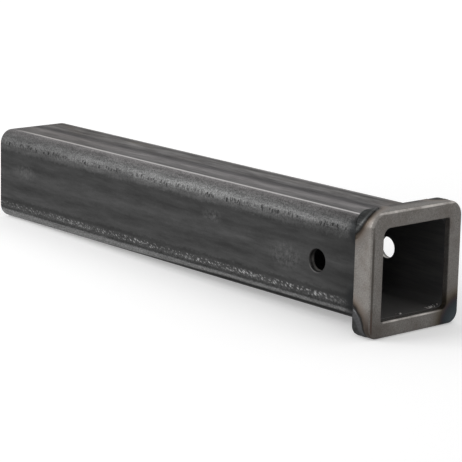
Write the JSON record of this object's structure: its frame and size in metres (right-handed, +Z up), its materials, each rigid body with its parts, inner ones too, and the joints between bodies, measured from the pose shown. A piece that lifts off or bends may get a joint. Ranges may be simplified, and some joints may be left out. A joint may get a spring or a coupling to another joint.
{
  "type": "receiver tube",
  "caption": "Square steel receiver tube with a pin hole through its sides and a reinforcing collar welded round its mouth.",
  "frame": {"origin": "on the tube's centre line, midway along the axis of the pin hole", "axes": "+X along the tube and out of its mouth, +Y along the pin hole, +Z up"},
  "size_m": [0.4622, 0.092, 0.092],
  "materials": {
    "tube_steel": "black mill scale",
    "collar_steel": "satin grey-brown",
    "weld_metal": "dark blue-grey, rippled"
  },
  "bodies": {
    "root": {"receiver_tube": "tube_steel", "reinforcing_collar": "collar_steel", "corner_weld_far_top": "weld_metal", "corner_weld_near_top": "weld_metal", "corner_weld_near_bottom": "weld_metal", "corner_weld_far_bottom": "weld_metal"}
  },
  "joints": []
}
